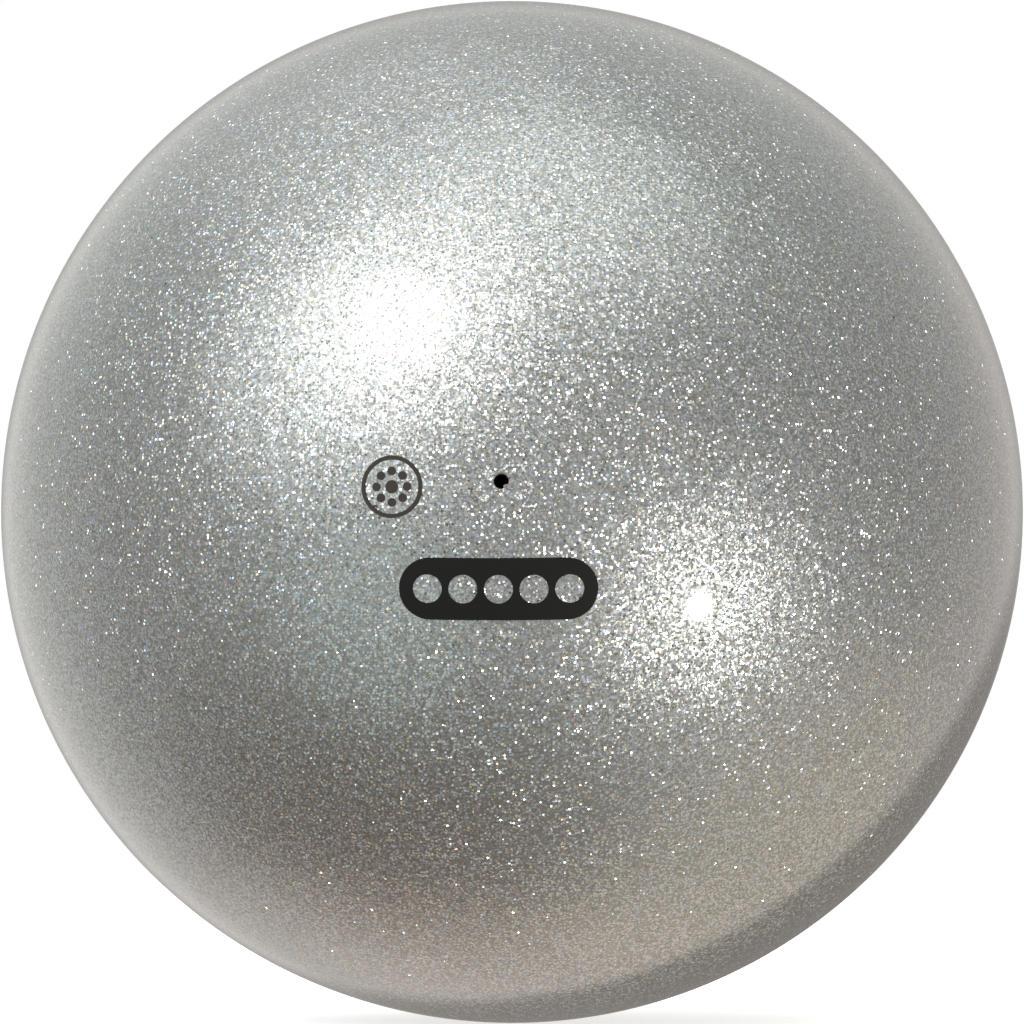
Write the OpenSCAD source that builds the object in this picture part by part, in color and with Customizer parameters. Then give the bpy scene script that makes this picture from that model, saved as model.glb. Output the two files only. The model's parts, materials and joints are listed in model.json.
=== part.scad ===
// Rhythmic gymnastics ball: a hollow rubber sphere with an airtight liner, a silver base coat and a glitter
// lacquer. A self-sealing needle valve is bonded inside the wall. Two ink marks are printed beside its hole.
// The origin is the centre of the ball, +Z is up, and the valve hole opens towards -Y.

/* [Ball] */
// Outer diameter over the lacquer
ball_d = 185; // [160:1:200]
// Thickness of the glitter lacquer
lacquer_t = 0.25; // [0.2:0.05:0.4]
// Thickness of the silver base coat
base_coat_t = 0.2; // [0.2:0.05:0.3]
// Thickness of the moulded rubber cover
cover_t = 1.95; // [1.8:0.05:3]
// Thickness of the airtight liner
liner_t = 0.9; // [0.6:0.1:1.2]

/* [Valve] */
// Diameter of the needle hole
needle_d = 2.5; // [2.2:0.1:2.8]
// Diameter of the valve housing's bonded flange
flange_d = 26; // [22:1:30]
// Thickness of the flange
flange_t = 1.4; // [1:0.1:2]
// Diameter of the housing's boss
boss_d = 11; // [10:0.5:13]
// Depth of the boss below the liner
boss_depth = 12; // [10:0.5:16]
// Diameter of the self-sealing core
core_d = 6.4; // [6:0.2:7]
// Length of the core's two lips
lip_length = 6; // [5:0.5:7]
// Diameter across both lips at their tips
lip_tip_d = 3.2; // [2.8:0.2:3.6]
// Diameter of the reinforcing patch
patch_d = 38; // [34:1:46]
// Thickness of the reinforcing patch
patch_t = 0.8; // [0.6:0.1:1.2]

/* [Printed marks] */
// Thickness of the printed ink
ink_t = 0.06; // [0.05:0.01:0.1]
// Width of the long mark
bar_w = 33; // [28:1:40]
// Height of the long mark
bar_h = 10.4; // [9:0.2:13]
// Angle of the long mark below the valve
bar_below = 11.1; // [9:0.1:16]
// Angle of the long mark to the left of the valve
bar_left = 0.3; // [0:0.1:2]
// Diameter of the round mark
roundel_d = 10.4; // [9:0.2:12]
// Angle of the round mark to the left of the valve
roundel_left = 11.3; // [10:0.1:16]
// Angle of the round mark below the valve
roundel_below = 0.5; // [-2:0.1:1]

/* [Hidden] */
$fn = 96;
ball_r = ball_d / 2;
base_coat_r = ball_r - lacquer_t;
cover_r = base_coat_r - base_coat_t;
liner_r = cover_r - cover_t;
air_r = liner_r - liner_t;
flange_r = air_r - flange_t;
needle_r = needle_d / 2;
boss_r = boss_d / 2;
core_r = core_d / 2;
// The boss ends this far from the ball's centre, and the core ends flush with it
boss_end = air_r - boss_depth;
// Rubber left between the core and the needle's entry
entry_t = 2.5;
core_top = air_r - entry_t;
// Glue line round the core and between pieces that only touch
glue_gap = 0.02;
// Air left between the core and its lips, so that the lips swing free
lip_gap = 0.05;
lip_root = boss_end - lip_gap;
lip_root_r = 2.9;
// Half of the slit between the closed lips
slit_gap = 0.02;
// Depth below the lips' root at which the needle channel narrows to the slit
channel_depth = 4.5;
// Round edge at the inner end of the boss
boss_edge = 1.2;
// Reach of a cutting shape past the surface that it cuts
past = 1;
// Dots through the long mark, and the bar left beyond the end ones as a share of their spacing
bar_dots = 5;
bar_dot_r = 0.23 * bar_h;
bar_dot_pitch = bar_w / (bar_dots + 0.6);
// Line of the round mark's ring, and the dots inside it
ring_line = 0.7;
ring_dots = 8;
ring_dot_r = 0.07 * roundel_d;
ring_dots_r = 0.25 * roundel_d;
centre_dot_r = 1.5 * ring_dot_r;

// Turns a shape that stands along +Z so that it points along -Y, out of the valve hole.
module out_of_valve() {
    rotate([90, 0, 0]) children();
}

// A spherical shell between two radii.
module shell(outer_r, inner_r) {
    difference() {
        sphere(r = outer_r);
        sphere(r = inner_r);
    }
}

// The straight hole that the inflating needle goes through.
module needle_hole(from, to) {
    out_of_valve() translate([0, 0, from]) cylinder(r = needle_r, h = to - from);
}

// A layer of the ball's wall, with the needle hole through it.
module wall_layer(outer_r, inner_r) {
    difference() {
        shell(outer_r, inner_r);
        needle_hole(inner_r - past, outer_r + past);
    }
}

// Outermost layer: flakes set in clear lacquer.
module glitter_lacquer() {
    color("silver") wall_layer(ball_r, base_coat_r);
}

// Opaque silver-grey colour coat under the flakes.
module base_coat() {
    color("darkgray") wall_layer(base_coat_r, cover_r);
}

// Moulded rubber wall, which gives the ball its bounce and most of its weight.
module rubber_cover() {
    color("dimgray") wall_layer(cover_r, liner_r);
}

// Airtight lining that holds the pressure.
module inner_liner() {
    color([0.13, 0.13, 0.14]) wall_layer(liner_r, air_r);
}

// The part of a shell that lies within a given radius of the valve's axis.
module spherical_disc(outer_r, inner_r, disc_r) {
    intersection() {
        shell(outer_r, inner_r);
        out_of_valve() translate([0, 0, ball_r / 2]) cylinder(r = disc_r, h = ball_r);
    }
}

// Valve housing: a curved flange bonded to the liner, with a boss that holds the core.
module valve_housing() {
    color("saddlebrown") difference() {
        union() {
            spherical_disc(air_r, flange_r, flange_d / 2);
            intersection() {
                sphere(r = air_r);
                out_of_valve() translate([0, 0, boss_end]) boss_body();
            }
        }
        needle_hole(core_top - past, air_r + past);
        out_of_valve() translate([0, 0, boss_end - past])
            cylinder(r = core_r, h = core_top - boss_end + past);
    }
}

// Outside of the boss, from its rounded inner end out to the flange.
module boss_body() {
    translate([0, 0, boss_edge]) cylinder(r = boss_r, h = boss_depth);
    cylinder(r = boss_r - boss_edge, h = boss_depth);
    translate([0, 0, boss_edge]) rotate_extrude() translate([boss_r - boss_edge, 0]) circle(r = boss_edge);
}

// Reinforcing patch: a ring bonded over the flange and down onto the liner round it.
module valve_patch() {
    color("black") difference() {
        spherical_disc(air_r, flange_r - patch_t, patch_d / 2);
        spherical_disc(air_r + past, flange_r, flange_d / 2);
        out_of_valve() cylinder(r = boss_r, h = ball_r);
    }
}

// Self-sealing core: a soft plug with the needle's channel through it.
module valve_core() {
    color("peru") difference() {
        out_of_valve() translate([0, 0, boss_end])
            cylinder(r = core_r - glue_gap, h = core_top - boss_end - glue_gap);
        needle_hole(boss_end - past, core_top + past);
    }
}

// Both lips at once: a tapered nozzle with the channel closing to a point inside it.
module lip_pair() {
    out_of_valve() translate([0, 0, lip_root - lip_length]) difference() {
        cylinder(r1 = lip_tip_d / 2, r2 = lip_root_r, h = lip_length);
        translate([0, 0, lip_length - channel_depth]) cylinder(r1 = 0, r2 = needle_r, h = channel_depth);
    }
}

// One lip: the half of the nozzle on one side of the slit, 1 for above and -1 for below.
module lip(side) {
    color("chocolate") intersection() {
        lip_pair();
        translate([-ball_r, -ball_r, side > 0 ? slit_gap : -ball_r - slit_gap])
            cube([ball_d, ball_d, ball_r]);
    }
}

module valve_lip_upper() { lip(1); }
module valve_lip_lower() { lip(-1); }

// A flat outline printed on the ball, centred at an angle left of and below the valve.
module printed(left, below) {
    intersection() {
        shell(ball_r + ink_t, ball_r);
        rotate([below, 0, -left]) out_of_valve() translate([0, 0, ball_r / 2])
            linear_extrude(height = ball_r) children();
    }
}

// Long mark: a plain bar with round ends, pierced by a row of dots.
module long_mark() {
    color([0.1, 0.1, 0.1]) printed(bar_left, bar_below) difference() {
        union() {
            square([bar_w - bar_h, bar_h], center = true);
            for (end = [-1, 1]) translate([end * (bar_w - bar_h) / 2, 0]) circle(d = bar_h);
        }
        for (i = [0 : bar_dots - 1])
            translate([(i - (bar_dots - 1) / 2) * bar_dot_pitch, 0]) circle(r = bar_dot_r);
    }
}

// Round mark: a thin ring round a ring of dots and a centre dot.
module round_mark() {
    color([0.24, 0.22, 0.21]) printed(roundel_left, roundel_below) {
        difference() {
            circle(d = roundel_d);
            circle(d = roundel_d - 2 * ring_line);
        }
        for (i = [0 : ring_dots - 1])
            rotate(i * 360 / ring_dots) translate([ring_dots_r, 0]) circle(r = ring_dot_r);
        circle(r = centre_dot_r);
    }
}

glitter_lacquer();
base_coat();
rubber_cover();
inner_liner();
valve_housing();
valve_patch();
valve_core();
valve_lip_upper();
valve_lip_lower();
long_mark();
round_mark();
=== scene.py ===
"""Looks of a rhythmic gymnastics ball.

Glitter lacquer over silver paint, a rubber wall, a needle valve and two printed marks, in a plain
bright studio.
"""

import bpy

import json
import logging
import math
from dataclasses import dataclass, field
from enum import Enum
from typing import Any

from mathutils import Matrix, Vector

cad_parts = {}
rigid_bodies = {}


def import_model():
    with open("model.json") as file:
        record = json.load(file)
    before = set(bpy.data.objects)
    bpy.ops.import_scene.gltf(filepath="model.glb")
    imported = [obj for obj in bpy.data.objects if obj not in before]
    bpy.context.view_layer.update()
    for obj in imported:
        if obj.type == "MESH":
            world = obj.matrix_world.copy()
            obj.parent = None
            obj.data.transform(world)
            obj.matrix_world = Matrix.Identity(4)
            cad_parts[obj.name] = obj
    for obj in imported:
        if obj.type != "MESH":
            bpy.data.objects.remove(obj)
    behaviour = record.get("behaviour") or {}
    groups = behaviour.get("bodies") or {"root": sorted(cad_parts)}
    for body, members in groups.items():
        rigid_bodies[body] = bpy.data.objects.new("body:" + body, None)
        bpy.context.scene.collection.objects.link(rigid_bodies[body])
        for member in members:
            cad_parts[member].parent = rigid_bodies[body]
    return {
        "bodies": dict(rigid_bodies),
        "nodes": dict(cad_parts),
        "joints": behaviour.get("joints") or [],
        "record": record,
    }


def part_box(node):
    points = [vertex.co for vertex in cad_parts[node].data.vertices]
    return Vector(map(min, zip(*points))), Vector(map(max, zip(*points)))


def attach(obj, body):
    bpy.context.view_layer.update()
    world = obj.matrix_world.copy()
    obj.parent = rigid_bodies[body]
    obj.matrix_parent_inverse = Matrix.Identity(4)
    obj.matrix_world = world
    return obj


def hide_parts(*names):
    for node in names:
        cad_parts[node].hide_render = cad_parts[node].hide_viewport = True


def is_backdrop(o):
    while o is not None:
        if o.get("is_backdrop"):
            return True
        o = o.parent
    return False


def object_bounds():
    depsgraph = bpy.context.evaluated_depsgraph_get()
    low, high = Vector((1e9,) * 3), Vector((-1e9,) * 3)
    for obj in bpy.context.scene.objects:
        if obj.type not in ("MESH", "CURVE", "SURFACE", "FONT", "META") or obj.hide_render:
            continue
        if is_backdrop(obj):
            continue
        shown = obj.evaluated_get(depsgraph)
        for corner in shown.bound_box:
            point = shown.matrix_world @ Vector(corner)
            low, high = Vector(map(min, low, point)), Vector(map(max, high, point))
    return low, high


log = logging.getLogger("ball")

MM = 0.001
# A point nearer to the axis than this, in metres, is on it.
ON_AXIS = 1e-7
FLOOR_SIDES = 96
WHITE = (1.0, 1.0, 1.0, 1.0)
Colour = tuple[float, float, float, float]
SizeBox = list[list[float]]


def linear(hex_colour: str) -> Colour:
    """Turns an sRGB hex colour to linear light.

    Args:
        hex_colour: Six hex digits after a hash, such as "#8a8d88".

    Returns:
        Linear red, green, blue, and an alpha of 1.
    """
    channels = [int(hex_colour[i : i + 2], 16) / 255 for i in (1, 3, 5)]
    red, green, blue = (c / 12.92 if c <= 0.04045 else ((c + 0.055) / 1.055) ** 2.4 for c in channels)
    return red, green, blue, 1.0


def add_node(
    tree: bpy.types.NodeTree,
    kind: str,
    settings: dict[str, Any] | None = None,
    inputs: dict[str | int, Any] | None = None,
) -> bpy.types.Node:
    """Adds a node with its settings and links.

    Args:
        tree: The node tree that gets the node.
        kind: The node's type, such as "ShaderNodeMath".
        settings: Attribute names of the node, with their values.
        inputs: Input names or numbers, each with a plain value or the output socket that feeds it.

    Returns:
        The new node.
    """
    node = tree.nodes.new(kind)
    for name, value in (settings or {}).items():
        setattr(node, name, value)
    for name, value in (inputs or {}).items():
        if isinstance(value, bpy.types.NodeSocket):
            tree.links.new(value, node.inputs[name])
        else:
            node.inputs[name].default_value = value
    return node


def new_material(name: str) -> tuple[bpy.types.Material, bpy.types.NodeTree, bpy.types.Node]:
    """Makes a material that holds one Principled shader.

    Args:
        name: The material's name.

    Returns:
        The material, its node tree and its Principled node.
    """
    material = bpy.data.materials.new(name)
    material.use_nodes = True
    tree = material.node_tree
    tree.nodes.clear()
    shader = add_node(tree, "ShaderNodeBsdfPrincipled")
    add_node(tree, "ShaderNodeOutputMaterial", inputs={"Surface": shader.outputs[0]})
    return material, tree, shader


def grain_coordinates(tree: bpy.types.NodeTree, size_mm: float) -> bpy.types.NodeSocket:
    """Gives coordinates in which one unit is a given real size on the piece.

    Args:
        tree: The node tree that uses them.
        size_mm: The real size in millimetres that counts as one unit.

    Returns:
        The scaled coordinates' socket.
    """
    place = add_node(tree, "ShaderNodeTexCoord")
    per_unit = 1 / (size_mm * MM)
    return add_node(
        tree,
        "ShaderNodeVectorMath",
        {"operation": "SCALE"},
        {0: place.outputs["Object"], "Scale": per_unit},
    ).outputs[0]


@dataclass(frozen=True)
class GlitterLacquerFinish:
    """Aluminised polyester flakes sprayed in clear polyurethane over a silver coat.

    To the eye each flake is a small mirror with its own tilt, so it flashes or stays dark, while the smooth
    lacquer over them all adds one soft, milky reflection that grows towards the rim.
    """

    name: str = "glitter_flakes_in_clear_polyurethane"
    silver: str = "#8b8e8b"
    shade: str = "#757773"
    # Most flakes are plain silver. Some split the light a little, to blue, yellow, green or orange: each
    # colour takes the cells whose chance lies between its number and the next.
    flakes: tuple[tuple[float, str], ...] = (
        (0.0, "#ababab"),
        (0.68, "#a1abbc"),
        (0.86, "#b8b3a1"),
        (0.94, "#a1b6b1"),
        (0.985, "#b9a189"),
    )
    # Real flakes are about 0.2 mm across. They are drawn about twice as coarse, so that single ones show.
    grain_mm: float = 0.33
    flake_mm: float = 0.45
    flake_share: float = 0.9
    flake_reach: float = 0.64
    flake_softness: float = 0.24
    grain_tilt: float = 0.15
    flake_tilt: float = 0.45
    silver_roughness: float = 0.38
    flake_roughness: float = 0.3
    lacquer_roughness: float = 0.05
    lacquer_ior: float = 1.5

    def grain_lean(self, tree: bpy.types.NodeTree, cell: bpy.types.NodeSocket) -> bpy.types.NodeSocket:
        """Gives each grain of the silver a small random lean.

        Args:
            tree: The material's node tree.
            cell: A colour that is random in each cell.

        Returns:
            The lean as a vector socket, up to the grain's tilt each way.
        """
        doubled = [2 * self.grain_tilt] * 3
        back = [-self.grain_tilt] * 3
        return add_node(
            tree,
            "ShaderNodeVectorMath",
            {"operation": "MULTIPLY_ADD"},
            {0: cell, 1: doubled, 2: back},
        ).outputs[0]

    def flake_lean(self, tree: bpy.types.NodeTree, cell: bpy.types.NodeSocket) -> bpy.types.NodeSocket:
        """Gives each flake a random lean: most lie nearly flat in the lacquer, and a few stand up steeply.

        Args:
            tree: The material's node tree.
            cell: A colour that is random in each cell.

        Returns:
            The lean as a vector socket, which grows with the cube of the random vector's length.
        """
        centred = add_node(
            tree,
            "ShaderNodeVectorMath",
            {"operation": "MULTIPLY_ADD"},
            {0: cell, 1: [2.0] * 3, 2: [-1.0] * 3},
        ).outputs[0]
        squared = add_node(
            tree, "ShaderNodeVectorMath", {"operation": "DOT_PRODUCT"}, {0: centred, 1: centred}
        ).outputs["Value"]
        reach = add_node(
            tree, "ShaderNodeMath", {"operation": "MULTIPLY"}, {0: squared, 1: self.flake_tilt}
        ).outputs[0]
        return add_node(
            tree, "ShaderNodeVectorMath", {"operation": "SCALE"}, {0: centred, "Scale": reach}
        ).outputs[0]

    def cells(self, tree: bpy.types.NodeTree, size_mm: float) -> bpy.types.Node:
        """Divides the coat into cells of a given real size.

        Args:
            tree: The material's node tree.
            size_mm: The cells' size in millimetres.

        Returns:
            The node, with a random colour and the distance from the middle of each cell.
        """
        place = grain_coordinates(tree, size_mm)
        return add_node(
            tree,
            "ShaderNodeTexVoronoi",
            {"voronoi_dimensions": "3D"},
            {"Vector": place, "Scale": 1.0},
        )

    def flake_mask(
        self, tree: bpy.types.NodeTree, flakes: bpy.types.Node, chance: bpy.types.NodeSocket
    ) -> bpy.types.NodeSocket:
        """Finds where a flake lies: near the middle of a cell, in most cells.

        Args:
            tree: The material's node tree.
            flakes: The cells that may hold a flake.
            chance: A number from 0 to 1 that is random in each cell.

        Returns:
            A socket that is 1 on flakes and 0 between them.
        """
        near = add_node(
            tree,
            "ShaderNodeMapRange",
            {"interpolation_type": "SMOOTHSTEP"},
            {
                "Value": flakes.outputs["Distance"],
                "From Min": self.flake_reach,
                "From Max": self.flake_reach - self.flake_softness,
            },
        ).outputs[0]
        held = add_node(
            tree, "ShaderNodeMath", {"operation": "LESS_THAN"}, {0: chance, 1: self.flake_share}
        ).outputs[0]
        return add_node(tree, "ShaderNodeMath", {"operation": "MULTIPLY"}, {0: near, 1: held}).outputs[0]

    def flake_colour(self, tree: bpy.types.NodeTree, chance: bpy.types.NodeSocket) -> bpy.types.NodeSocket:
        """Picks each flake's colour.

        Args:
            tree: The material's node tree.
            chance: A number from 0 to 1 that is random in each cell.

        Returns:
            The colour's socket.
        """
        ramp = add_node(tree, "ShaderNodeValToRGB", inputs={0: chance})
        ramp.color_ramp.interpolation = "CONSTANT"
        stops = ramp.color_ramp.elements
        while len(stops) < len(self.flakes):
            stops.new(1.0)
        for stop, (start, tone) in zip(stops, self.flakes):
            stop.position = start
            stop.color = linear(tone)
        return ramp.outputs[0]

    def make(self) -> bpy.types.Material:
        """Builds the material.

        Returns:
            The material.
        """
        material, tree, shader = new_material(self.name)
        grain = self.cells(tree, self.grain_mm)
        flakes = self.cells(tree, self.flake_mm)
        chance = add_node(tree, "ShaderNodeSeparateColor", inputs={0: flakes.outputs["Color"]})
        shows = self.flake_mask(tree, flakes, chance.outputs[2])
        lean = add_node(
            tree,
            "ShaderNodeMix",
            {"data_type": "VECTOR"},
            {
                "Factor": shows,
                4: self.grain_lean(tree, grain.outputs["Color"]),
                5: self.flake_lean(tree, flakes.outputs["Color"]),
            },
        ).outputs[1]
        upright = add_node(tree, "ShaderNodeNewGeometry").outputs["Normal"]
        leaning = add_node(
            tree, "ShaderNodeVectorMath", {"operation": "ADD"}, {0: upright, 1: lean}
        ).outputs[0]
        normal = add_node(
            tree, "ShaderNodeVectorMath", {"operation": "NORMALIZE"}, {0: leaning}
        ).outputs[0]
        grain_shade = add_node(tree, "ShaderNodeSeparateColor", inputs={0: grain.outputs["Color"]})
        silver = add_node(
            tree,
            "ShaderNodeMix",
            {"data_type": "RGBA"},
            {"Factor": grain_shade.outputs[0], 6: linear(self.silver), 7: linear(self.shade)},
        ).outputs[2]
        colour = add_node(
            tree,
            "ShaderNodeMix",
            {"data_type": "RGBA"},
            {"Factor": shows, 6: silver, 7: self.flake_colour(tree, chance.outputs[0])},
        ).outputs[2]
        roughness = add_node(
            tree,
            "ShaderNodeMix",
            {"data_type": "FLOAT"},
            {"Factor": shows, 2: self.silver_roughness, 3: self.flake_roughness},
        ).outputs[0]
        tree.links.new(colour, shader.inputs["Base Color"])
        tree.links.new(roughness, shader.inputs["Roughness"])
        tree.links.new(normal, shader.inputs["Normal"])
        shader.inputs["Metallic"].default_value = 1.0
        shader.inputs["Coat Weight"].default_value = 1.0
        shader.inputs["Coat Roughness"].default_value = self.lacquer_roughness
        shader.inputs["Coat IOR"].default_value = self.lacquer_ior
        return material


@dataclass(frozen=True)
class SilverPaintFinish:
    """Sprayed silver base paint, which looks like fine, even, satin metal."""

    name: str = "sprayed_silver_base_paint"
    silver: str = "#a5a8a4"
    shade: str = "#8b8e8a"
    # Aluminium pigment is ground to about 0.02 mm, too fine to show, so its clouding is drawn coarser.
    pigment_mm: float = 0.25
    # The pigment is metal and the binder between its grains isn't.
    metallic: float = 0.8
    roughness: float = 0.45

    def make(self) -> bpy.types.Material:
        """Builds the material.

        Returns:
            The material.
        """
        material, tree, shader = new_material(self.name)
        place = grain_coordinates(tree, self.pigment_mm)
        pigment = add_node(
            tree, "ShaderNodeTexNoise", inputs={"Vector": place, "Scale": 1.0, "Detail": 2.0}
        ).outputs["Fac"]
        colour = add_node(
            tree,
            "ShaderNodeMix",
            {"data_type": "RGBA"},
            {"Factor": pigment, 6: linear(self.silver), 7: linear(self.shade)},
        ).outputs[2]
        tree.links.new(colour, shader.inputs["Base Color"])
        shader.inputs["Metallic"].default_value = self.metallic
        shader.inputs["Roughness"].default_value = self.roughness
        return material


class Rubber(Enum):
    """The rubbers in the ball: name, main colour, darker shade, roughness and grain size in millimetres."""

    COVER = ("moulded_natural_rubber", "#8f8d86", "#7c7a74", 0.62, 0.8)
    LINER = ("calendered_butyl_rubber", "#2b2b2d", "#1f1f21", 0.5, 1.2)
    HOUSING = ("moulded_valve_housing_rubber", "#6b4a36", "#5a3d2c", 0.6, 0.6)
    CORE = ("soft_latex_valve_core", "#c08a58", "#a97546", 0.42, 0.4)


@dataclass(frozen=True)
class RubberFinish:
    """Moulded or calendered rubber: dull and slightly uneven in tone, with fine pebbles from its mould."""

    kind: Rubber
    ior: float = 1.52
    bump_mm: float = 0.02
    # The tone changes in clouds this many times as wide as the grain.
    cloud_ratio: float = 14.0
    unevenness: float = 0.06

    def make(self) -> bpy.types.Material:
        """Builds the material.

        Returns:
            The material.
        """
        name, main, shade, roughness, grain_mm = self.kind.value
        material, tree, shader = new_material(name)
        fine = grain_coordinates(tree, grain_mm)
        wide = grain_coordinates(tree, grain_mm * self.cloud_ratio)
        grain = add_node(
            tree, "ShaderNodeTexNoise", inputs={"Vector": fine, "Scale": 1.0, "Detail": 3.0}
        ).outputs["Fac"]
        clouds = add_node(
            tree, "ShaderNodeTexNoise", inputs={"Vector": wide, "Scale": 1.0, "Detail": 4.0}
        ).outputs["Fac"]
        colour = add_node(
            tree,
            "ShaderNodeMix",
            {"data_type": "RGBA"},
            {"Factor": clouds, 6: linear(main), 7: linear(shade)},
        ).outputs[2]
        bump = add_node(
            tree,
            "ShaderNodeBump",
            inputs={"Height": grain, "Distance": self.bump_mm * MM, "Strength": 1.0},
        )
        duller, shinier = roughness + self.unevenness, roughness - self.unevenness
        dull = add_node(
            tree, "ShaderNodeMapRange", inputs={"Value": grain, "To Min": shinier, "To Max": duller}
        )
        tree.links.new(colour, shader.inputs["Base Color"])
        tree.links.new(dull.outputs[0], shader.inputs["Roughness"])
        tree.links.new(bump.outputs[0], shader.inputs["Normal"])
        shader.inputs["IOR"].default_value = self.ior
        return material


@dataclass(frozen=True)
class PadPrintInk:
    """Pad-printed ink: an even, nearly matt film in which the flakes below leave a faint unevenness."""

    name: str
    tone: str
    worn: str
    roughness: float = 0.5
    # A matt binder and the rough film scatter most of the surface reflection.
    specular_level: float = 0.12
    wear_mm: float = 0.35
    bump_mm: float = 0.01
    bump_strength: float = 0.6
    # How far the roughness dips and rises where the flakes show through.
    smoother: float = 0.05
    rougher: float = 0.08

    def make(self) -> bpy.types.Material:
        """Builds the material.

        Returns:
            The material.
        """
        material, tree, shader = new_material(self.name)
        place = grain_coordinates(tree, self.wear_mm)
        film = add_node(
            tree, "ShaderNodeTexNoise", inputs={"Vector": place, "Scale": 1.0, "Detail": 3.0}
        ).outputs["Fac"]
        colour = add_node(
            tree,
            "ShaderNodeMix",
            {"data_type": "RGBA"},
            {"Factor": film, 6: linear(self.tone), 7: linear(self.worn)},
        ).outputs[2]
        bump = add_node(
            tree,
            "ShaderNodeBump",
            inputs={"Height": film, "Distance": self.bump_mm * MM, "Strength": self.bump_strength},
        )
        least, most = self.roughness - self.smoother, self.roughness + self.rougher
        sheen = add_node(
            tree, "ShaderNodeMapRange", inputs={"Value": film, "To Min": least, "To Max": most}
        )
        tree.links.new(colour, shader.inputs["Base Color"])
        tree.links.new(sheen.outputs[0], shader.inputs["Roughness"])
        tree.links.new(bump.outputs[0], shader.inputs["Normal"])
        shader.inputs["Specular IOR Level"].default_value = self.specular_level
        return material


def dress(node: bpy.types.Object, material: bpy.types.Material) -> None:
    """Puts a material on every slot of a CAD node.

    Args:
        node: The CAD node's object.
        material: The material it gets.
    """
    for slot in node.material_slots:
        slot.link = "OBJECT"
        slot.material = material


@dataclass(frozen=True)
class HoleEdge:
    """The uneven edge of the sprayed coats at the needle hole."""

    stand_back_mm: float = 0.07
    # Lacquer hangs over the hole's lower right edge in a burr. Angles turn from +X towards +Z.
    burr_mm: float = 0.46
    burr_at: float = -50.0
    burr_width: float = 21.0
    # Each wave round the edge: its height in millimetres, how often it repeats, and where it starts.
    waves: tuple[tuple[float, int, float], ...] = ((0.02, 3, 0.7), (0.015, 7, 2.1), (0.01, 13, 0.0))

    def out_by(self, angle: float) -> float:
        """How far the coats stand back from the hole.

        Args:
            angle: Direction round the valve's axis, in radians from +X towards +Z.

        Returns:
            The distance in metres, which is negative where the burr hangs over.
        """
        turn = (angle - math.radians(self.burr_at) + math.pi) % (2 * math.pi) - math.pi
        burr = self.burr_mm * math.exp(-((turn / math.radians(self.burr_width)) ** 4))
        uneven = sum(height * math.sin(times * angle + start) for height, times, start in self.waves)
        return (self.stand_back_mm + uneven - burr) * MM


def revolved(name: str, profile: list[tuple[float, float]], turns: int, edge_points: int) -> bpy.types.Object:
    """Revolves a closed profile round the valve's axis.

    Args:
        name: The new object's name.
        profile: Points (distance from the axis, place along +Y), from the hole round the outside and back.
        turns: How many steps the revolution takes.
        edge_points: How many points at the start belong to the hole's uneven edge.

    Returns:
        The object, with smooth shading.
    """
    edge = HoleEdge()
    verts: list[tuple[float, float, float]] = []
    rings: list[list[int]] = []
    for index, (out, along) in enumerate(profile):
        if out < ON_AXIS:
            verts.append((0.0, along, 0.0))
            rings.append([len(verts) - 1] * turns)
            continue
        first = len(verts)
        for step in range(turns):
            angle = 2 * math.pi * step / turns
            reach = out + (edge.out_by(angle) if index < edge_points else 0.0)
            verts.append((reach * math.cos(angle), along, reach * math.sin(angle)))
        rings.append(list(range(first, first + turns)))
    faces: list[list[int]] = []
    for here, there in zip(rings, rings[1:] + rings[:1]):
        for step in range(turns):
            after = (step + 1) % turns
            corners = [here[step], here[after], there[after], there[step]]
            # A ring on the axis is one point, so its faces have three corners.
            face = list(dict.fromkeys(corners))
            if len(face) > 2:
                faces.append(face)
    mesh = bpy.data.meshes.new(name)
    mesh.from_pydata(verts, [], faces)
    mesh.validate()
    mesh.update()
    mesh.polygons.foreach_set("use_smooth", [True] * len(mesh.polygons))
    piece = bpy.data.objects.new(name, mesh)
    bpy.context.scene.collection.objects.link(piece)
    return piece


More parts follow.
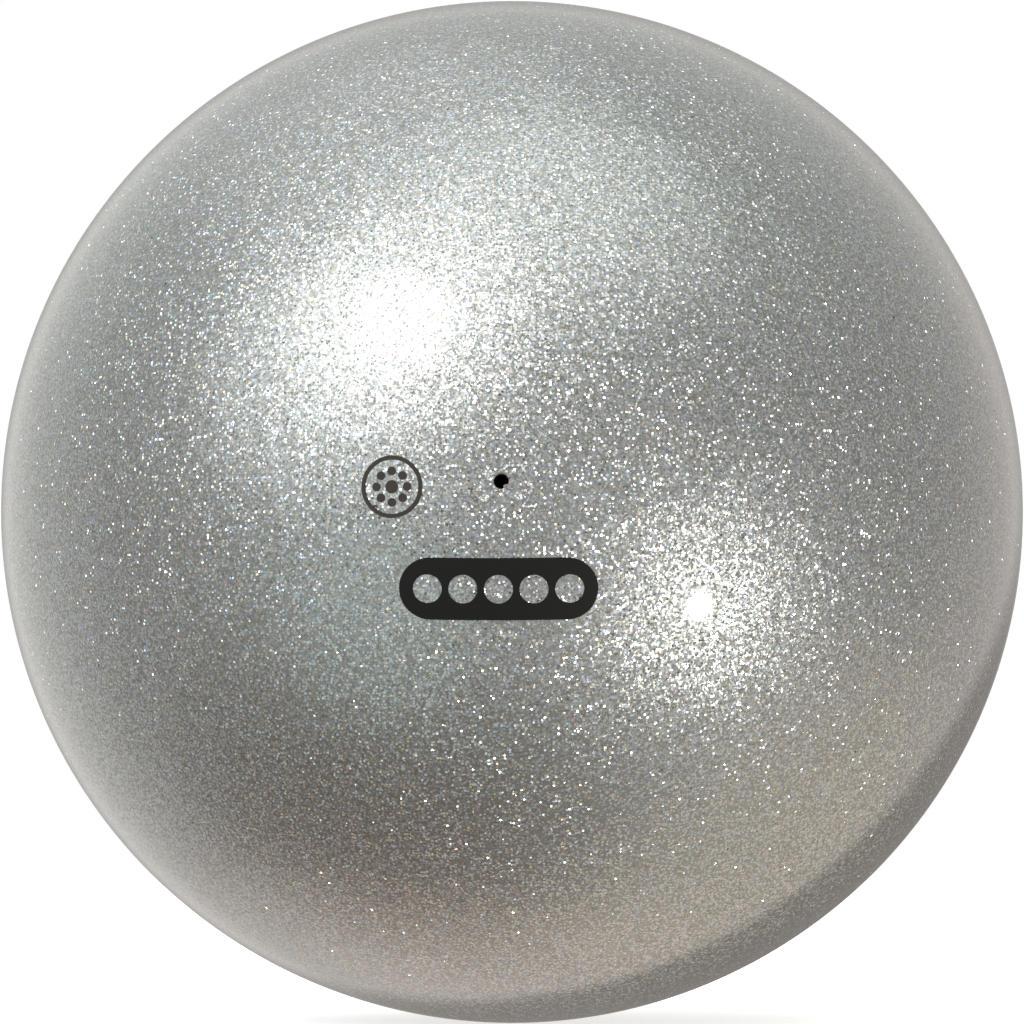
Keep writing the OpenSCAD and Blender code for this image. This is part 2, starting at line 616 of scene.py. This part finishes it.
@dataclass
class Coats:
    """The sprayed coats: glitter lacquer outside, silver base paint under it."""

    frame: dict[str, Any]
    turns: int = 256
    outer_rings: int = 236
    inner_rings: int = 56
    # Closer rings near the hole, out to this many radians from its rim.
    hole_rings: int = 22
    hole_zone: float = 0.03
    hole_crowding: float = 1.6
    # Rounding of the rim at the hole.
    rim_mm: float = 0.1
    rim_steps: int = 6

    def shell(
        self, node: str, name: str, thickness: float, hole: float, turns: int, rings: int
    ) -> bpy.types.Object:
        """Builds one coat as a closed shell with the needle hole through it.

        Args:
            node: The CAD node whose place the coat takes.
            name: The new piece's name.
            thickness: The coat's thickness in metres.
            hole: The needle hole's radius in metres.
            turns: Steps round the valve's axis.
            rings: Rings from the hole to the far pole.

        Returns:
            The coat's object.
        """
        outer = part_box(node)[1][2]
        inner = outer - thickness
        rim = min(self.rim_mm * MM, thickness / 2)
        rim_out = hole + rim
        edge = [(hole, -math.sqrt(inner**2 - hole**2))]
        surface_at = -math.sqrt(outer**2 - rim_out**2)
        for step in range(1, self.rim_steps):
            turn = math.pi / 2 * step / self.rim_steps
            edge.append((hole + rim * (1 - math.cos(turn)), surface_at + rim * (1 - math.sin(turn))))
        start = math.asin(rim_out / outer)
        near = start + self.hole_zone
        shares = [(i / self.hole_rings) ** self.hole_crowding for i in range(self.hole_rings)]
        angles = [start + (near - start) * share for share in shares]
        angles += [near + (math.pi - near) * i / rings for i in range(rings + 1)]
        outside = [(max(0.0, outer * math.sin(a)), -outer * math.cos(a)) for a in angles]
        inner_start = math.asin(rim_out / inner)
        last = self.inner_rings
        back = [math.pi + (inner_start - math.pi) * i / last for i in range(last + 1)]
        inside = [(max(0.0, inner * math.sin(a)), -inner * math.cos(a)) for a in back]
        profile = edge + outside + inside
        edge_points = len(edge) + self.hole_rings // 3
        return revolved(name, profile, turns, edge_points)

    def make(self) -> list[bpy.types.Object]:
        """Builds and dresses both coats.

        Returns:
            The lacquer and the base coat.
        """
        hole = self.frame["record"]["mounts"][0]["dims"]["r_mm"] * MM
        tops = [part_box(node)[1][2] for node in ("glitter_lacquer", "base_coat", "rubber_cover")]
        lacquer = self.shell(
            "glitter_lacquer", "lacquer_with_glitter", tops[0] - tops[1], hole, self.turns, self.outer_rings
        )
        lacquer.data.materials.append(GlitterLacquerFinish().make())
        base = self.shell(
            "base_coat", "silver_base_paint", tops[1] - tops[2], hole, self.turns // 2, self.outer_rings // 2
        )
        base.data.materials.append(SilverPaintFinish().make())
        for piece, node, slot in (
            (lacquer, "glitter_lacquer", "glitter_lacquer"),
            (base, "base_coat", "silver_base"),
        ):
            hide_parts(node)
            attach(piece, "ball")
        return [lacquer, base]


@dataclass
class RubberWall:
    """The moulded cover and the airtight liner inside it."""

    frame: dict[str, Any]

    def make(self) -> list[bpy.types.Object]:
        """Dresses the wall's two layers.

        Returns:
            The cover and the liner.
        """
        cover, liner = (self.frame["nodes"][name] for name in ("rubber_cover", "inner_liner"))
        dress(cover, RubberFinish(Rubber.COVER).make())
        dress(liner, RubberFinish(Rubber.LINER).make())
        return [cover, liner]


@dataclass
class NeedleValve:
    """The valve: housing, patch, core and the core's two lips."""

    frame: dict[str, Any]
    finishes: dict[str, Rubber] = field(
        default_factory=lambda: {
            "valve_housing": Rubber.HOUSING,
            "valve_patch": Rubber.LINER,
            "valve_core": Rubber.CORE,
            "valve_lip_upper": Rubber.CORE,
            "valve_lip_lower": Rubber.CORE,
        }
    )

    def make(self) -> list[bpy.types.Object]:
        """Dresses each piece of the valve.

        Returns:
            The valve's pieces.
        """
        made = {kind: RubberFinish(kind).make() for kind in dict.fromkeys(self.finishes.values())}
        for name, kind in self.finishes.items():
            dress(self.frame["nodes"][name], made[kind])
        return [self.frame["nodes"][name] for name in self.finishes]


@dataclass
class PrintedMarks:
    """The two generic ink marks beside the valve."""

    frame: dict[str, Any]

    def make(self) -> list[bpy.types.Object]:
        """Dresses both marks.

        Returns:
            The marks.
        """
        inks = {
            "long_mark": PadPrintInk("black_pad_print_ink", "#0d0e0d", "#141413"),
            "round_mark": PadPrintInk("dark_brown_pad_print_ink", "#2b2724", "#36322e"),
        }
        for name, ink in inks.items():
            dress(self.frame["nodes"][name], ink.make())
        return [self.frame["nodes"][name] for name in inks]


def direction(azimuth: float, elevation: float) -> Vector:
    """A unit vector from the ball's centre.

    Args:
        azimuth: Degrees from the valve's side, positive towards +X.
        elevation: Degrees above the horizontal.

    Returns:
        The direction.
    """
    a, e = math.radians(azimuth), math.radians(elevation)
    return Vector((math.sin(a) * math.cos(e), -math.cos(a) * math.cos(e), math.sin(e)))


def lit(tone: str, level: float) -> Colour:
    """A tone at a brightness that may be above 1.

    Args:
        tone: The sRGB hex tone.
        level: How many times as bright as white paper at full exposure.

    Returns:
        The linear colour.
    """
    red, green, blue, _ = linear(tone)
    most = max(red, green, blue)
    return red / most * level, green / most * level, blue / most * level, 1.0


@dataclass(frozen=True)
class Softbox:
    """A round studio light: its direction, distance, width in metres and power in watts."""

    name: str
    azimuth: float
    elevation: float
    distance: float
    width: float
    power: float
    tone: str = "#ffffff"

    def make(self, lit: bpy.types.Collection) -> bpy.types.Object:
        """Builds the light, aimed at the ball.

        Args:
            lit: The collection that it lights.

        Returns:
            The light's object.
        """
        data = bpy.data.lights.new(self.name, "AREA")
        data.shape = "DISK"
        data.size = self.width
        data.energy = self.power
        data.color = linear(self.tone)[:3]
        light = bpy.data.objects.new(self.name, data)
        bpy.context.scene.collection.objects.link(light)
        out = direction(self.azimuth, self.elevation)
        light.location = out * self.distance
        light.rotation_euler = out.to_track_quat("Z", "Y").to_euler()
        light.visible_camera = False
        light.light_linking.receiver_collection = lit
        return light


@dataclass(frozen=True)
class RoomPatch:
    """A soft-edged round part of the room that the ball mirrors, with its place, width, tone and level.

    Angles are in degrees: the patch is full up to one distance from its middle and gone at the other.
    """

    azimuth: float
    elevation: float
    full_within: float
    gone_at: float
    tone: str
    level: float
    # A glow adds to what is already there; anything else stands in front of it.
    glow: bool = True

    def over(self, tree: bpy.types.NodeTree, aim: bpy.types.NodeSocket, under: Any) -> bpy.types.NodeSocket:
        """Paints the patch over what is already there.

        Args:
            tree: The world's node tree.
            aim: The direction that is looked in.
            under: The colour so far, as a value or a socket.

        Returns:
            The colour with the patch on it.
        """
        centre = direction(self.azimuth, self.elevation)
        turn = add_node(
            tree, "ShaderNodeVectorMath", {"operation": "DOT_PRODUCT"}, {0: aim, 1: centre}
        ).outputs["Value"]
        strength = add_node(
            tree,
            "ShaderNodeMapRange",
            {"interpolation_type": "SMOOTHSTEP"},
            {
                "Value": turn,
                "From Min": math.cos(math.radians(self.gone_at)),
                "From Max": math.cos(math.radians(self.full_within)),
            },
        ).outputs[0]
        return add_node(
            tree,
            "ShaderNodeMix",
            {"data_type": "RGBA", "blend_type": "ADD" if self.glow else "MIX"},
            {"Factor": strength, 6: under, 7: lit(self.tone, self.level)},
        ).outputs[2]


@dataclass
class Studio:
    """Pale floor, soft lights, surroundings and camera."""

    ball_radius: float
    view_azimuth: float = 1.12
    view_elevation: float = -3.17
    view_distance: float = 1.0
    # The outline of the ball all but touches the frame: its radius is this share of half the frame.
    fill: float = 0.998
    sensor: float = 36.0
    floor_radius: float = 3.0
    floor_tone: str = "#e8e7e5"
    floor_glow: float = 0.62
    # The floor fades out between these shares of its radius, so that no edge shows against the background.
    fade_from: float = 0.15
    fade_to: float = 0.95
    # The room's own tone and level, then its patches, each laid over the ones before it. A row's comment says
    # what the patch stands for. Some places started from the direction that the real ball mirrors where it is
    # lightest or darkest. The others, and all widths, were chosen and moved one by one. Tones and levels lie
    # near the middle of two least-squares fits to the real ball's shading, apart from a few set one by one.
    room: tuple[str, float] = ("#fffcf9", 0.648)
    patches: tuple[RoomPatch, ...] = (
        RoomPatch(-70.0, -66.0, 10.0, 48.0, "#ffebdf", 0.36, glow=False),  # dark floor low on the left
        RoomPatch(-26.9, 37.4, 1.0, 15.0, "#fdfffd", 6.6),  # core of the large high softbox
        RoomPatch(-26.5, 37.8, 1.0, 33.0, "#fffafa", 2.3),  # its halo
        RoomPatch(-45.0, 27.0, 2.0, 34.0, "#f7feff", 1.72),  # paler cloth beside it
        RoomPatch(26.0, 67.0, 5.0, 36.0, "#f9fffb", 1.24),  # ceiling light on the right
        RoomPatch(-110.0, 70.0, 5.0, 38.0, "#fbfbff", 0.57),  # ceiling on the left
        RoomPatch(180.0, 85.0, 20.0, 80.0, "#dcfff3", 0.14),  # ceiling overhead
        RoomPatch(115.0, -48.0, 5.0, 42.0, "#ffe7be", 0.39),  # warm table on the right
        RoomPatch(175.0, -24.0, 50.0, 62.0, "#ffd5b2", 0.09),  # warm table behind
        RoomPatch(-138.0, 5.0, 12.0, 46.0, "#eefffc", 0.21),  # pale wall behind on the left
        RoomPatch(-33.0, -27.0, 2.0, 28.0, "#defffa", 0.7),  # cool reflector low in front
        RoomPatch(-170.0, -58.0, 5.0, 34.0, "#ffe8d6", 0.37),  # nearer part of the warm table
        RoomPatch(180.0, 5.0, 6.0, 27.0, "#fffcfa", 0.42, glow=False),  # wall straight behind
        RoomPatch(166.7, -20.2, 17.0, 25.0, "#fff6ef", 0.26, glow=False),  # shaded gap under the wall
    )
    softboxes: tuple[Softbox, ...] = (
        Softbox("kicker", 42.8, -20.6, 1.0, 0.076, 4.5, "#fffdf8"),
    )

    def camera(self) -> bpy.types.Object:
        """Builds the camera.

        Returns:
            The camera's object.
        """
        data = bpy.data.cameras.new("camera")
        data.sensor_width = self.sensor
        outline = self.ball_radius / math.sqrt(self.view_distance**2 - self.ball_radius**2)
        data.lens = self.fill * self.sensor / 2 / outline
        data.clip_start = 0.01
        data.clip_end = 50.0
        camera = bpy.data.objects.new("camera", data)
        bpy.context.scene.collection.objects.link(camera)
        out = direction(self.view_azimuth, self.view_elevation)
        camera.location = out * self.view_distance
        camera.rotation_euler = out.to_track_quat("Z", "Y").to_euler()
        bpy.context.scene.camera = camera
        return camera

    def floor(self) -> bpy.types.Object:
        """Builds the floor under the ball, an opal sheet that glows a little, so that its shadow stays faint.

        Returns:
            The floor's object.
        """
        material = bpy.data.materials.new("glowing_opal_acrylic_sheet")
        material.use_nodes = True
        tree = material.node_tree
        tree.nodes.clear()
        opal = add_node(tree, "ShaderNodeBsdfDiffuse", inputs={"Color": linear(self.floor_tone)}).outputs[0]
        glow = add_node(
            tree, "ShaderNodeEmission", inputs={"Color": WHITE, "Strength": self.floor_glow}
        ).outputs[0]
        sheet = add_node(tree, "ShaderNodeAddShader", inputs={0: opal, 1: glow}).outputs[0]
        clear = add_node(tree, "ShaderNodeBsdfTransparent").outputs[0]
        place = add_node(tree, "ShaderNodeTexCoord").outputs["Object"]
        out = add_node(tree, "ShaderNodeVectorMath", {"operation": "LENGTH"}, {0: place}).outputs["Value"]
        fade = add_node(
            tree,
            "ShaderNodeMapRange",
            {"interpolation_type": "SMOOTHSTEP"},
            {
                "Value": out,
                "From Min": self.floor_radius * self.fade_from,
                "From Max": self.floor_radius * self.fade_to,
            },
        ).outputs[0]
        mix = add_node(tree, "ShaderNodeMixShader", inputs={0: fade, 1: sheet, 2: clear}).outputs[0]
        add_node(tree, "ShaderNodeOutputMaterial", inputs={"Surface": mix})
        rim = [2 * math.pi * i / FLOOR_SIDES for i in range(FLOOR_SIDES)]
        corners = [(self.floor_radius * math.cos(a), self.floor_radius * math.sin(a), 0.0) for a in rim]
        mesh = bpy.data.meshes.new("floor")
        mesh.from_pydata(corners, [], [list(range(FLOOR_SIDES))])
        mesh.materials.append(material)
        floor = bpy.data.objects.new("floor", mesh)
        floor.location.z = -self.ball_radius
        # The painted room already holds the light from below, and the low softbox shines up past the floor.
        floor.visible_glossy = False
        floor.visible_diffuse = False
        floor.visible_shadow = False
        bpy.context.scene.collection.objects.link(floor)
        floor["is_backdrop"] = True
        return floor

    def surroundings(self) -> None:
        """Paints the room that the ball mirrors, and a white background for the camera."""
        world = bpy.data.worlds.new("studio_room")
        bpy.context.scene.world = world
        world.use_nodes = True
        tree = world.node_tree
        tree.nodes.clear()
        aim = add_node(tree, "ShaderNodeTexCoord").outputs["Generated"]
        colour: Any = lit(*self.room)
        for patch in self.patches:
            colour = patch.over(tree, aim, colour)
        room = add_node(tree, "ShaderNodeBackground", inputs={"Color": colour}).outputs[0]
        white = add_node(tree, "ShaderNodeBackground", inputs={"Color": WHITE}).outputs[0]
        seen = add_node(tree, "ShaderNodeLightPath").outputs["Is Camera Ray"]
        mix = add_node(tree, "ShaderNodeMixShader", inputs={0: seen, 1: room, 2: white}).outputs[0]
        add_node(tree, "ShaderNodeOutputWorld", inputs={"Surface": mix})

    def make(self, ball: list[bpy.types.Object]) -> None:
        """Builds the whole studio.

        Args:
            ball: The ball's pieces, which the softboxes light.
        """
        bpy.context.scene.view_settings.view_transform = "Standard"
        self.camera()
        self.floor()
        self.surroundings()
        on_ball = bpy.data.collections.new("lit_by_softboxes")
        for piece in ball:
            on_ball.objects.link(piece)
        for softbox in self.softboxes:
            softbox.make(on_ball)


def plain(corners: tuple[Vector, Vector]) -> SizeBox:
    """A box's two corners as plain lists of numbers."""
    return [list(corner) for corner in corners]


def main() -> None:
    """Builds every sub-assembly in order and reports each piece."""
    logging.basicConfig(level=logging.INFO, format="%(name)s: %(message)s")
    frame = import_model()
    cad_box = plain(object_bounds())
    pieces: list[bpy.types.Object] = []
    for assembly in (Coats(frame), RubberWall(frame), NeedleValve(frame), PrintedMarks(frame)):
        for piece in assembly.make():
            log.info("%s: %s, %d faces", type(assembly).__name__, piece.name, len(piece.data.polygons))
            pieces.append(piece)
    Studio(ball_radius=cad_box[1][2]).make(pieces)
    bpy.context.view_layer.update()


if __name__ == "__main__":
    main()
